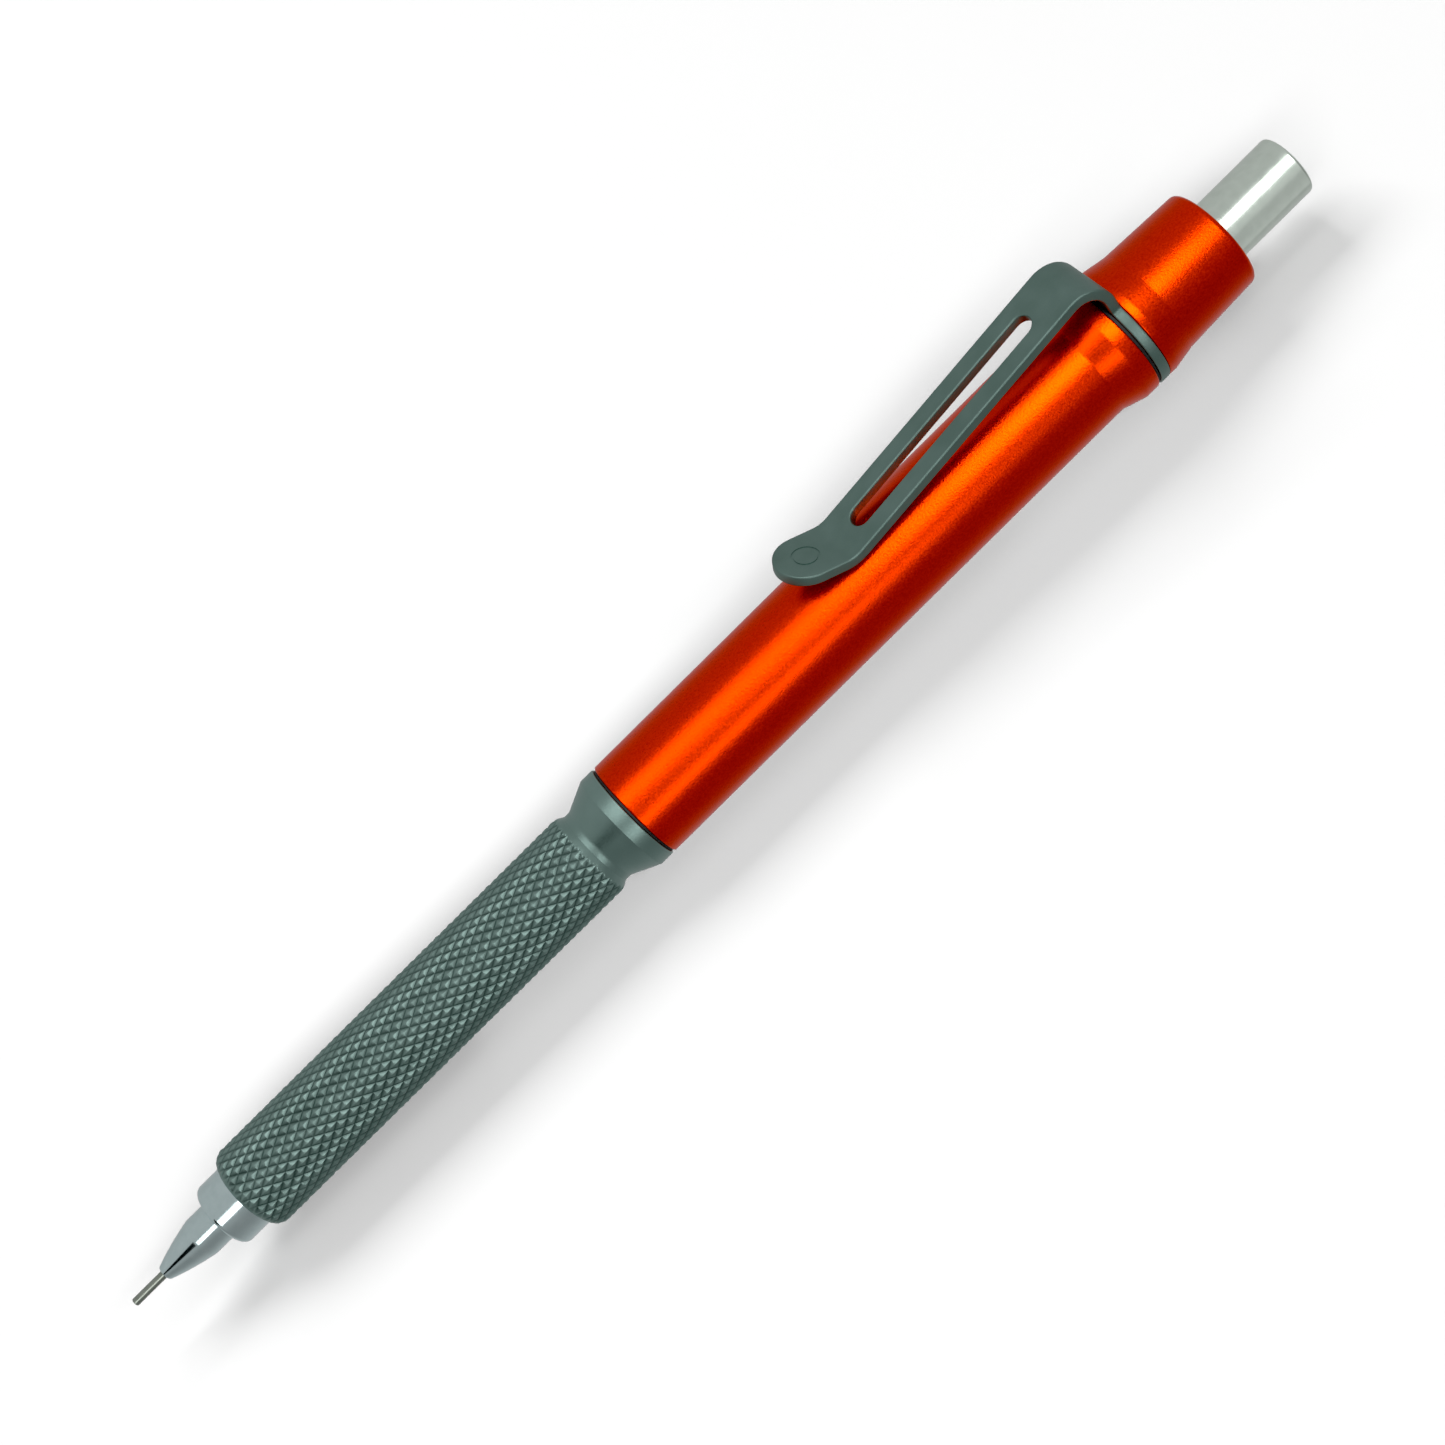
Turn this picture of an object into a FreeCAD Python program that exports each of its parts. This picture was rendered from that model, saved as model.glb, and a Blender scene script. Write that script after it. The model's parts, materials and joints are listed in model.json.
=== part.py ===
"""Push-button drafting pencil with a knurled grip, a bent clip plate and a sprung chuck.

Every sub-part is drawn in the pencil's own axial frame: x runs along the axis, from the
writing end at 0 to the button end, and each radius is measured from the axis. The bodies are
then placed so that the pencil lies along X, centred, with its lowest surface at z = 0 and the
clip on the +Z side.
"""
import FreeCAD, Part
import os
import re
import Sketcher
from FreeCAD import Vector

# Driving dimensions in millimetres and degrees. Names that end in _start and _end are stations
# along the axis; names that end in _radius are measured from the axis.
DIMENSIONS = {
    # whole pencil
    "overall_length": 140.0,
    "axis_height": 5.7,
    "running_gap": 0.05,
    # guide sleeve and tip
    "sleeve_radius": 0.39,
    "sleeve_end": 6.5,
    "sleeve_rim": 0.07,
    "nose_start": 3.7,
    "nose_radius": 0.72,
    "nose_end": 8.35,
    "nose_end_radius": 1.965,
    "nose_rounding": 0.3,
    "nose_crown": 30.0,
    "collar_start": 10.9,
    "collar_radius": 3.25,
    "collar_rounding": 0.7,
    "passage_radius": 0.35,
    "retainer_start": 7.6,
    "retainer_end": 9.6,
    "retainer_radius": 1.1,
    "retainer_hole_radius": 0.3,
    "chuck_room_start": 9.8,
    "chuck_room_radius": 1.56,
    "ring_room_start": 14.35,
    "ring_room_radius": 1.87,
    "spigot_bore_start": 16.0,
    "spigot_bore_radius": 2.27,
    "spigot_end": 20.0,
    "spigot_radius": 2.75,
    "thread_pitch": 0.5,
    "thread_depth": 0.2,
    "thread_turns": 9,
    "thread_start": 14.9,
    # grip
    "grip_start": 14.0,
    "grip_radius": 4.25,
    "grip_front_rounding": 0.95,
    "grip_end": 56.1,
    "neck_start": 56.9,
    "neck_end": 57.5,
    "neck_radius": 3.8,
    "neck_rounding": 0.8,
    "flange_start": 60.1,
    "flange_end": 61.5,
    "grip_bore_radius": 2.95,
    "tube_room_start": 38.4,
    "tube_room_radius": 3.2,
    "joint_radius": 4.0,
    "front_joint_end": 69.0,
    # barrel
    "barrel_start": 61.75,
    "barrel_radius": 5.0,
    "barrel_bore_radius": 3.6,
    "barrel_flare_start": 115.6,
    "barrel_flare_end": 117.8,
    "barrel_end": 119.2,
    "collar_blend": 1.6,
    "rear_joint_start": 112.5,
    "joint_gap": 0.2,
    "flare_radius": 5.7,
    "edge_rounding": 0.15,
    "seal_recess": 0.2,
    # clip plate
    "clip_plate_start": 119.5,
    "clip_tab_root": 4.5,
    "clip_split": 5.85,
    "clip_width": 5.7,
    "clip_corner_height": 9.8,
    "clip_slope": 7.1,
    "clip_valley": 90.2,
    "clip_flare_angle": 27.0,
    "clip_end": 84.4,
    "clip_bend_radius": 3.15,
    "clip_bend_inner": 2.15,
    "clip_valley_radius": 2.5,
    "clip_valley_outer": 3.5,
    "clip_slot_start": 92.1,
    "clip_slot_end": 114.3,
    "clip_slot_width": 2.1,
    # end cap
    "cap_start": 120.5,
    "cap_rim_end": 121.3,
    "cap_taper_start": 123.4,
    "cap_taper_radius": 5.32,
    "cap_end": 131.3,
    "cap_rim_blend": 1.2,
    "cap_end_rounding": 0.5,
    "cap_bore_radius": 3.05,
    # button, magazine tube and what is in them
    "button_start": 125.0,
    "button_radius": 3.0,
    "button_rounding": 0.2,
    "button_seat": 134.6,
    "button_bore_radius": 2.22,
    "eraser_room_end": 138.5,
    "eraser_room_radius": 1.8,
    "tube_start": 36.0,
    "tube_end": 134.5,
    "tube_radius": 2.2,
    "tube_bore_radius": 1.7,
    "eraser_start": 127.5,
    "eraser_end": 137.5,
    "eraser_radius": 1.66,
    "pin_start": 112.0,
    "pin_end": 131.5,
    "pin_radius": 0.2,
    # clutch mechanism
    "housing_start": 16.05,
    "housing_nose_radius": 2.2,
    "housing_shoulder": 20.3,
    "spring_seat": 21.1,
    "housing_radius": 2.93,
    "housing_end": 38.0,
    "housing_ring_seat": 17.3,
    "housing_guide_radius": 1.25,
    "housing_bore_radius": 2.3,
    "ring_start": 15.0,
    "ring_end": 17.2,
    "ring_radius": 1.8,
    "chuck_start": 14.3,
    "chuck_lip": 14.6,
    "chuck_lip_radius": 1.5,
    "chuck_front_radius": 1.25,
    "chuck_cone_end": 17.3,
    "chuck_shank_radius": 1.05,
    "chuck_end": 34.0,
    "chuck_feed_radius": 0.5,
    "chuck_feed_start": 18.0,
    "chuck_slot_end": 22.0,
    "chuck_slot_width": 0.25,
    "connector_start": 31.0,
    "connector_radius": 2.15,
    "connector_end": 40.0,
    "connector_feed_radius": 0.7,
    "connector_funnel_start": 38.6,
    "connector_funnel_radius": 1.4,
    "spring_wire_radius": 0.2,
    "spring_radius": 1.75,
    "spring_turns": 9,
    # leads
    "lead_radius": 0.28,
    "lead_start": 0.6,
    "lead_end": 55.0,
    "spare_lead_start": 42.0,
    "spare_lead_length": 60.0,
    "spare_lead_orbit": 1.4,
    "spare_lead_angle": 24.0,
}

HALF_TURN = "(clip_flare_angle + clip_slope) / 2"
HALF_DIFFERENCE = "(clip_flare_angle - clip_slope) / 2"
PLATE = "(cap_start - clip_plate_start)"
VALLEY_HEIGHT = "(clip_corner_height - (cap_start - clip_valley) * tan(clip_slope))"
CLIP_END_HEIGHT = VALLEY_HEIGHT + " + (clip_valley - clip_end) * tan(clip_flare_angle)"

doc = FreeCAD.newDocument("DraftingPencil")
sheet = doc.addObject("Spreadsheet::Sheet", "dims")


def fill_sheet():
    """Write every driving dimension to the sheet, with its name as the cell's alias."""
    for row, (name, size) in enumerate(DIMENSIONS.items(), start=1):
        sheet.set(f"A{row}", name)
        sheet.set(f"B{row}", str(size))
        sheet.setAlias(f"B{row}", name)
    doc.recompute()


def bound(expression):
    """Point each dimension name in an expression at its cell in the sheet."""
    def to_cell(word):
        name = word.group(0)
        return "dims." + name if name in DIMENSIONS else name
    return re.sub(r"[a-z_]+", to_cell, expression)


def size(expression):
    """The present value of an expression in the sheet's dimension names."""
    return float(sheet.evalExpression(bound(expression)))


def place(sub_part):
    """Move a sub-part from the axial frame to the pencil's own frame."""
    sub_part.setExpression("Placement.Base.x", bound("-overall_length / 2"))
    sub_part.setExpression("Placement.Base.z", bound("axis_height"))
    return sub_part


def new_body(label):
    """An empty body at the pencil's place."""
    return place(doc.addObject("PartDesign::Body", label))


def new_sketch(body, name, role):
    """A sketch on one of the body's own origin planes."""
    sketch = body.newObject("Sketcher::SketchObject", f"{body.Label}_{name}")
    plane = next(item for item in body.Origin.OriginFeatures if item.Role == role)
    sketch.AttachmentSupport = [(plane, "")]
    sketch.MapMode = "FlatFace"
    return sketch


def fix_point(sketch, edge, end, x, y):
    """Hold one end of a sketch edge at two bound distances from the origin."""
    for kind, expression in (("DistanceX", x), ("DistanceY", y)):
        if size(expression) == 0:
            axis = -2 if kind == "DistanceX" else -1
            sketch.addConstraint(Sketcher.Constraint("PointOnObject", edge, end, axis))
            continue
        index = sketch.addConstraint(Sketcher.Constraint(kind, -1, 1, edge, end, size(expression)))
        sketch.setExpression(f"Constraints[{index}]", bound(expression))


def bulged_edge(start, end, radius):
    """An arc between two points that bulges to the left of the way from start to end."""
    chord = end - start
    left = Vector(-chord.y, chord.x, 0).normalize()
    centre_distance = max(radius ** 2 - (chord.Length / 2) ** 2, 0) ** 0.5
    crown = (start + end) / 2 + left * (radius - centre_distance)
    return Part.Arc(start, crown, end)


def outline_sketch(body, name, role, outline):
    """A closed outline, every corner held by bound distances.

    A corner is (x, y), or (x, y, radius) where the edge that leaves it is an arc.
    """
    sketch = new_sketch(body, name, role)
    corners = [Vector(size(corner[0]), size(corner[1]), 0) for corner in outline]
    count = len(corners)
    first_ends = []
    for index, corner in enumerate(corners):
        following = corners[(index + 1) % count]
        if len(outline[index]) == 3:
            sketch.addGeometry(bulged_edge(corner, following, size(outline[index][2])), False)
        else:
            sketch.addGeometry(Part.LineSegment(corner, following), False)
        is_forward = sketch.getPoint(index, 1).distanceToPoint(corner) < 1e-6
        first_ends.append(1 if is_forward else 2)
    for index, first in enumerate(first_ends):
        following = (index + 1) % count
        sketch.addConstraint(Sketcher.Constraint(
            "Coincident", index, 3 - first, following, first_ends[following]))
    for index, corner in enumerate(outline):
        fix_point(sketch, index, first_ends[index], corner[0], corner[1])
    for index, corner in enumerate(outline):
        if len(corner) == 3:
            fix_arc(sketch, index, corner, (corners[(index + 1) % count] - corners[index]).Length / 2)
    return sketch


def fix_arc(sketch, index, corner, half_chord):
    """Hold an arc by its radius, or a half circle by the station of its centre."""
    if abs(size(corner[2]) - half_chord) < 1e-6:
        constraint = Sketcher.Constraint("DistanceX", -1, 1, index, 3, size(corner[0]))
        held = corner[0]
    else:
        constraint = Sketcher.Constraint("Radius", index, size(corner[2]))
        held = corner[2]
    number = sketch.addConstraint(constraint)
    sketch.setExpression(f"Constraints[{number}]", bound(held))


def feature(body, kind, name, **settings):
    """Add a feature, make it the body's tip and recompute."""
    item = body.newObject(f"PartDesign::{kind}", f"{body.Label}_{name}")
    for setting, chosen in settings.items():
        setattr(item, setting, chosen)
    body.Tip = item
    doc.recompute()
    return item


def turned(label, outline):
    """A body turned about the axis from an outline of (station, radius) corners."""
    body = new_body(label)
    sketch = outline_sketch(body, "outline", "XZ_Plane", outline)
    feature(body, "Revolution", "turning", Profile=sketch, ReferenceAxis=(sketch, ["H_Axis"]), Angle=360)
    return body


def tube_outline(start, end, inner, outer):
    """The outline of a plain tube."""
    return [(start, inner), (start, outer), (end, outer), (end, inner)]


def ring_edges(body, rings):
    """Names of the circular edges about the axis at the given (station, radius) pairs."""
    wanted = [(size(x), size(radius)) for x, radius in rings]
    names = []
    for index, edge in enumerate(body.Tip.Shape.Edges, start=1):
        if not isinstance(edge.Curve, Part.Circle):
            continue
        circle = edge.Curve
        if any(abs(circle.Center.x - x) + abs(circle.Radius - radius) < 1e-4 for x, radius in wanted):
            names.append(f"Edge{index}")
    if len(names) != len(wanted):
        raise ValueError(f"{body.Label}: found {len(names)} of {len(wanted)} ring edges")
    return names


def round_rings(body, name, radius, rings):
    """Fillet the circular edges at the given (station, radius) pairs."""
    names = ring_edges(body, rings)
    fillet = feature(body, "Fillet", name, Base=(body.Tip, names), Radius=size(radius))
    fillet.setExpression("Radius", bound(radius))
    doc.recompute()


def bevel_rings(body, name, width, rings):
    """Chamfer the circular edges at the given (station, radius) pairs."""
    names = ring_edges(body, rings)
    chamfer = feature(body, "Chamfer", name, Base=(body.Tip, names), Size=size(width))
    chamfer.setExpression("Size", bound(width))
    doc.recompute()


def cross_edges(body, spots):
    """Names of the straight edges parallel to Y that pass through the given (x, z) spots."""
    names = []
    for x, z in spots:
        spot = Vector(size(x), 0, size(z))
        for index, edge in enumerate(body.Tip.Shape.Edges, start=1):
            ends = [vertex.Point for vertex in edge.Vertexes]
            if all(Vector(end.x, 0, end.z).distanceToPoint(spot) < 1e-4 for end in ends):
                names.append(f"Edge{index}")
    if len(names) != len(spots):
        raise ValueError(f"{body.Label}: found {len(names)} of {len(spots)} cross edges")
    return names


def cut(body, kind, name, **settings):
    """Add a cutting feature and make sure that it removes material."""
    before = body.Tip.Shape.Volume
    item = feature(body, kind, name, **settings)
    if item.Shape.Volume >= before:
        raise ValueError(f"{item.Label} removes nothing")
    return item


def make_lead_sleeve():
    """The thin tube that guides the lead along a straight edge."""
    body = turned("lead_sleeve", tube_outline("0", "sleeve_end", "lead_radius + 0.02", "sleeve_radius"))
    round_rings(body, "rim", "sleeve_rim", [("0", "sleeve_radius")])


def make_tip_cone():
    """Tip: nose cone, short cylinder, collar and the threaded spigot behind it."""
    body = turned("tip_cone", [
        ("nose_start", "sleeve_radius"),
        ("nose_start", "nose_radius", "nose_crown"),
        ("nose_end", "nose_end_radius"),
        ("collar_start", "nose_end_radius"),
        ("collar_start", "collar_radius"),
        ("grip_start - 0.02", "collar_radius"),
        ("grip_start - 0.02", "spigot_radius"),
        ("spigot_end", "spigot_radius"),
        ("spigot_end", "spigot_bore_radius"),
        ("spigot_bore_start", "spigot_bore_radius"),
        ("spigot_bore_start", "ring_room_radius"),
        ("ring_room_start", "ring_room_radius"),
        ("ring_room_start", "chuck_room_radius"),
        ("chuck_room_start", "chuck_room_radius"),
        ("chuck_room_start - 0.1", "retainer_radius"),
        ("retainer_start", "retainer_radius"),
        ("retainer_start", "passage_radius"),
        ("sleeve_end", "passage_radius"),
        ("sleeve_end", "sleeve_radius"),
    ])
    round_rings(body, "nose", "nose_rounding", [("nose_start", "nose_radius")])
    round_rings(body, "collar_edge", "collar_rounding", [("collar_start", "collar_radius")])
    bevel_rings(body, "spigot_lead", "thread_depth", [("spigot_end", "spigot_radius")])
    cut_thread(body)


def cut_thread(body):
    """Rings of thread profile around the tip's spigot."""
    half_width = "thread_pitch * 0.45"
    groove = outline_sketch(body, "thread_form", "XZ_Plane", [
        ("thread_start - " + half_width, "spigot_radius + 0.01"),
        ("thread_start + " + half_width, "spigot_radius + 0.01"),
        ("thread_start", "spigot_radius - thread_depth"),
    ])
    axis = (groove, ["H_Axis"])
    first = cut(body, "Groove", "thread_groove", Profile=groove, ReferenceAxis=axis, Angle=360)
    turns = cut(body, "LinearPattern", "thread", Originals=[first], Direction=axis,
                Occurrences=int(size("thread_turns")), Length=size("thread_pitch * (thread_turns - 1)"))
    turns.setExpression("Occurrences", bound("thread_turns"))
    turns.setExpression("Length", bound("thread_pitch * (thread_turns - 1)"))
    doc.recompute()


def make_lead_retainer():
    """Rubber ring in the tip that holds the lead while the chuck is open."""
    body = turned("lead_retainer", tube_outline(
        "retainer_start", "retainer_end", "retainer_hole_radius", "retainer_radius"))
    bevel_rings(body, "funnel", "retainer_hole_radius", [("retainer_end", "retainer_hole_radius")])


def make_grip():
    """Grip: knurled section, neck, flared flange and the spigot that enters the barrel."""
    body = turned("grip", [
        ("grip_start", "spigot_radius + running_gap"),
        ("grip_start", "grip_radius"),
        ("grip_end", "grip_radius"),
        ("neck_start", "neck_radius"),
        ("neck_end", "neck_radius"),
        ("flange_start", "barrel_radius"),
        ("flange_end", "barrel_radius"),
        ("flange_end", "joint_radius"),
        ("front_joint_end", "joint_radius"),
        ("front_joint_end", "tube_room_radius"),
        ("tube_room_start", "tube_room_radius"),
        ("tube_room_start", "grip_bore_radius"),
        ("housing_shoulder - running_gap", "grip_bore_radius"),
        ("housing_shoulder - running_gap", "spigot_radius + running_gap"),
    ])
    round_rings(body, "front_edge", "grip_front_rounding", [("grip_start", "grip_radius")])
    round_rings(body, "neck_blend", "neck_rounding", [
        ("neck_end", "neck_radius"),
        ("flange_start", "barrel_radius"),
    ])
    round_rings(body, "flange_edge", "edge_rounding", [("flange_end", "barrel_radius")])


def make_barrel():
    """Barrel tube with a counterbore at each end and a flared rear end."""
    body = turned("barrel", [
        ("barrel_start", "joint_radius"),
        ("barrel_start", "barrel_radius"),
        ("barrel_flare_start", "barrel_radius"),
        ("barrel_flare_end", "flare_radius"),
        ("barrel_end", "flare_radius"),
        ("barrel_end", "joint_radius"),
        ("rear_joint_start - joint_gap", "joint_radius"),
        ("rear_joint_start - joint_gap", "barrel_bore_radius"),
        ("front_joint_end + joint_gap", "barrel_bore_radius"),
        ("front_joint_end + joint_gap", "joint_radius"),
    ])
    round_rings(body, "flare_blend", "collar_blend", [
        ("barrel_flare_start", "barrel_radius"),
        ("barrel_flare_end", "flare_radius"),
    ])
    round_rings(body, "end_edges", "edge_rounding", [
        ("barrel_start", "barrel_radius"),
        ("barrel_end", "flare_radius"),
    ])


def make_seal(label, start, end, radius):
    """A flat black ring that shows as a thin line between two sleeves."""
    turned(label, tube_outline(start, end, "joint_radius", f"{radius} - seal_recess"))


def make_end_cap():
    """Cap behind the clip, with the spigot that enters the barrel and the button's bore."""
    body = turned("end_cap", [
        ("rear_joint_start", "cap_bore_radius"),
        ("rear_joint_start", "joint_radius"),
        ("cap_start", "joint_radius"),
        ("cap_start", "flare_radius"),
        ("cap_rim_end", "flare_radius"),
        ("cap_taper_start", "cap_taper_radius"),
        ("cap_end", "barrel_radius"),
        ("cap_end", "cap_bore_radius"),
    ])
    round_rings(body, "rim_blend", "cap_rim_blend", [
        ("cap_rim_end", "flare_radius"),
        ("cap_taper_start", "cap_taper_radius"),
    ])
    round_rings(body, "end_edge", "cap_end_rounding", [("cap_end", "barrel_radius")])
    round_rings(body, "rim_edge", "edge_rounding", [("cap_start", "flare_radius")])
    bevel_rings(body, "mouth", "edge_rounding", [("cap_end", "cap_bore_radius")])


def make_knock_button():
    """Push button: a cup that slides in the end cap and sits on the magazine tube."""
    body = turned("knock_button", [
        ("button_start", "button_bore_radius"),
        ("button_start", "button_radius"),
        ("overall_length", "button_radius"),
        ("overall_length", "0"),
        ("eraser_room_end", "0"),
        ("eraser_room_end", "eraser_room_radius"),
        ("button_seat", "eraser_room_radius"),
        ("button_seat", "button_bore_radius"),
    ])
    round_rings(body, "end_edge", "button_rounding", [("overall_length", "button_radius")])
    bevel_rings(body, "front_edge", "edge_rounding", [("button_start", "button_radius")])


def make_lead_tube():
    """Magazine tube for the spare leads; it also carries the button."""
    turned("lead_tube", tube_outline("tube_start", "tube_end", "tube_bore_radius", "tube_radius"))


def make_eraser():
    """Eraser in the tube's open end, with a hole for its clean-out pin."""
    body = turned("eraser", [
        ("eraser_start", "pin_radius"),
        ("eraser_start", "eraser_radius"),
        ("eraser_end", "eraser_radius"),
        ("eraser_end", "0"),
        ("pin_end", "0"),
        ("pin_end", "pin_radius"),
    ])
    round_rings(body, "end_edge", "button_rounding", [("eraser_end", "eraser_radius")])


def make_clean_out_pin():
    """Needle on the eraser's inner end, which clears a jammed sleeve."""
    turned("clean_out_pin", [
        ("pin_start", "0"),
        ("pin_start + pin_radius", "pin_radius"),
        ("pin_end", "pin_radius"),
        ("pin_end", "0"),
    ])


def make_mechanism_sleeve():
    """Brass housing of the clutch: ring seat, chuck guide and spring chamber."""
    turned("mechanism_sleeve", [
        ("housing_start", "ring_room_radius"),
        ("housing_start", "housing_nose_radius"),
        ("housing_shoulder", "housing_nose_radius"),
        ("housing_shoulder", "housing_radius"),
        ("housing_end", "housing_radius"),
        ("housing_end", "housing_bore_radius"),
        ("spring_seat", "housing_bore_radius"),
        ("spring_seat", "housing_guide_radius"),
        ("housing_ring_seat", "housing_guide_radius"),
        ("housing_ring_seat", "ring_room_radius"),
    ])


def make_chuck():
    """Brass chuck: a cone-headed collet with three slots."""
    body = turned("chuck", [
        ("chuck_start", "lead_radius + 0.01"),
        ("chuck_start", "chuck_front_radius"),
        ("chuck_lip", "chuck_lip_radius"),
        ("chuck_cone_end", "chuck_shank_radius"),
        ("chuck_end", "chuck_shank_radius"),
        ("chuck_end", "chuck_feed_radius"),
        ("chuck_feed_start", "chuck_feed_radius"),
        ("chuck_feed_start - 0.2", "lead_radius + 0.01"),
    ])
    slot = outline_sketch(body, "slot_outline", "XY_Plane", [
        ("chuck_start - 1", "-chuck_slot_width / 2"),
        ("chuck_slot_end", "-chuck_slot_width / 2"),
        ("chuck_slot_end", "chuck_slot_width / 2"),
        ("chuck_start - 1", "chuck_slot_width / 2"),
    ])
    first = cut(body, "Pocket", "slot", Profile=slot, Type="ThroughAll")
    cut(body, "PolarPattern", "slots", Originals=[first], Axis=(slot, ["H_Axis"]), Angle=360,
        Occurrences=3)


def make_clutch_ring():
    """Ring whose taper squeezes the chuck's jaws on the lead."""
    cone_slope = "(chuck_lip_radius - chuck_shank_radius) / (chuck_cone_end - chuck_lip)"
    front = f"chuck_lip_radius - (ring_start - chuck_lip) * {cone_slope} + 0.02"
    rear = f"chuck_lip_radius - (ring_end - chuck_lip) * {cone_slope} + 0.02"
    turned("clutch_ring", [
        ("ring_start", front),
        ("ring_start", "ring_radius"),
        ("ring_end", "ring_radius"),
        ("ring_end", rear),
    ])


def make_chuck_connector():
    """Plug that joins the chuck to the magazine tube and funnels a lead into the chuck."""
    turned("chuck_connector", [
        ("connector_start", "chuck_shank_radius"),
        ("connector_start", "connector_radius"),
        ("tube_start", "connector_radius"),
        ("tube_start", "tube_bore_radius"),
        ("connector_end", "tube_bore_radius"),
        ("connector_end", "connector_funnel_radius"),
        ("connector_funnel_start", "connector_feed_radius"),
        ("chuck_end", "connector_feed_radius"),
        ("chuck_end", "chuck_shank_radius"),
    ])


def make_return_spring():
    """Coil spring between the housing's shoulder and the connector."""
    body = new_body("return_spring")
    section = new_sketch(body, "wire", "XZ_Plane")
    centre = Vector(size("spring_seat + 1.5 * spring_wire_radius"), size("spring_radius"), 0)
    wire = Part.Circle(centre, Vector(0, 0, 1), size("spring_wire_radius"))
    section.addGeometry(wire, False)
    fix_point(section, 0, 3, "spring_seat + 1.5 * spring_wire_radius", "spring_radius")
    index = section.addConstraint(Sketcher.Constraint("Radius", 0, size("spring_wire_radius")))
    section.setExpression(f"Constraints[{index}]", bound("spring_wire_radius"))
    doc.recompute()
    coil = body.newObject("PartDesign::AdditiveHelix", "return_spring_coil")
    coil.Profile = section
    coil.ReferenceAxis = (section, ["H_Axis"])
    coil.Mode = "height-turns-angle"
    coil.setExpression("Height", bound("connector_start - spring_seat - 3 * spring_wire_radius"))
    coil.setExpression("Turns", bound("spring_turns"))
    body.Tip = coil
    doc.recompute()


def make_writing_lead():
    """The lead in use, from the sleeve's mouth to the magazine tube."""
    turned("writing_lead", [
        ("lead_start", "0"),
        ("lead_start", "lead_radius"),
        ("lead_end", "lead_radius"),
        ("lead_end", "0"),
    ])


def make_spare_leads():
    """Three spare leads that lie side by side along the bottom of the magazine tube."""
    leads = []
    for place_in_row in (-1, 0, 1):
        angle = f"({place_in_row} * spare_lead_angle)"
        lead = doc.addObject("Part::Cylinder", f"spare_lead_{place_in_row + 2}")
        lead.Placement.Rotation = FreeCAD.Rotation(Vector(0, 1, 0), 90)
        lead.setExpression("Radius", bound("lead_radius"))
        lead.setExpression("Height", bound("spare_lead_length"))
        lead.setExpression("Placement.Base.x", bound("spare_lead_start"))
        lead.setExpression("Placement.Base.y", bound(f"spare_lead_orbit * sin({angle})"))
        lead.setExpression("Placement.Base.z", bound(f"-spare_lead_orbit * cos({angle})"))
        leads.append(lead)
    group = place(doc.addObject("Part::Compound", "spare_leads"))
    group.Links = leads
    doc.recompute()


def pad_plate(body, name, outline, width):
    """Pad an XZ outline to both sides of the clip's middle plane."""
    sketch = outline_sketch(body, f"{name}_outline", "XZ_Plane", outline)
    pad = feature(body, "Pad", name, Profile=sketch, SideType="Symmetric", Length=size(width))
    pad.setExpression("Length", bound(width))
    doc.recompute()


def round_cross_edge(body, name, radius, spot):
    """Fillet the one edge across the plate at the given (x, z) spot."""
    fillet = feature(body, "Fillet", name, Base=(body.Tip, cross_edges(body, [spot])), Radius=size(radius))
    fillet.setExpression("Radius", bound(radius))
    doc.recompute()


def make_clip_ring():
    """Foot of the clip plate: the ring clamped under the cap, and the start of the tab."""
    body = turned("clip_ring", tube_outline("clip_plate_start", "cap_start", "joint_radius", "flare_radius"))
    pad_plate(body, "tab", [
        ("clip_plate_start", "clip_tab_root"),
        ("cap_start", "clip_tab_root"),
        ("cap_start", "clip_split"),
        ("clip_plate_start", "clip_split"),
    ], "clip_width")


def make_clip_arm():
    """Sprung part of the clip plate: bend, slotted arm, valley and lifted round end."""
    body = new_body("clip_arm")
    corner = ("cap_start", "clip_corner_height")
    valley = ("clip_valley", VALLEY_HEIGHT)
    under_valley = (
        f"clip_valley - {PLATE} * sin({HALF_DIFFERENCE}) / cos({HALF_TURN})",
        f"{VALLEY_HEIGHT} - {PLATE} * cos({HALF_DIFFERENCE}) / cos({HALF_TURN})",
    )
    inner_corner = (
        "clip_plate_start",
        f"clip_corner_height - {PLATE} * tan(clip_slope) - {PLATE} / cos(clip_slope)",
    )
    pad_plate(body, "plate", [
        ("cap_start", "clip_split"),
        corner,
        valley,
        ("clip_end", CLIP_END_HEIGHT),
        ("clip_end", f"{CLIP_END_HEIGHT} - {PLATE} / cos(clip_flare_angle)"),
        under_valley,
        inner_corner,
        ("clip_plate_start", "clip_split"),
    ], "clip_width")
    round_cross_edge(body, "bend_outside", "clip_bend_radius", corner)
    round_cross_edge(body, "bend_inside", "clip_bend_inner", inner_corner)
    round_cross_edge(body, "valley_top", "clip_valley_radius", valley)
    round_cross_edge(body, "valley_underside", "clip_valley_outer", under_valley)
    cut_clip_end(body)
    cut_clip_slot(body)


def cut_clip_end(body):
    """Trim the arm's free end to a half circle as wide as the plate."""
    half = "clip_width / 2"
    sketch = outline_sketch(body, "end_trim", "XY_Plane", [
        (f"clip_end + {half}", f"-{half}", half),
        (f"clip_end + {half}", half),
        (f"clip_end + {half}", f"{half} + 1"),
        ("clip_end - 1", f"{half} + 1"),
        ("clip_end - 1", f"-{half} - 1"),
        (f"clip_end + {half}", f"-{half} - 1"),
    ])
    cut(body, "Pocket", "round_end", Profile=sketch, Type="ThroughAll", SideType="Symmetric")


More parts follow.
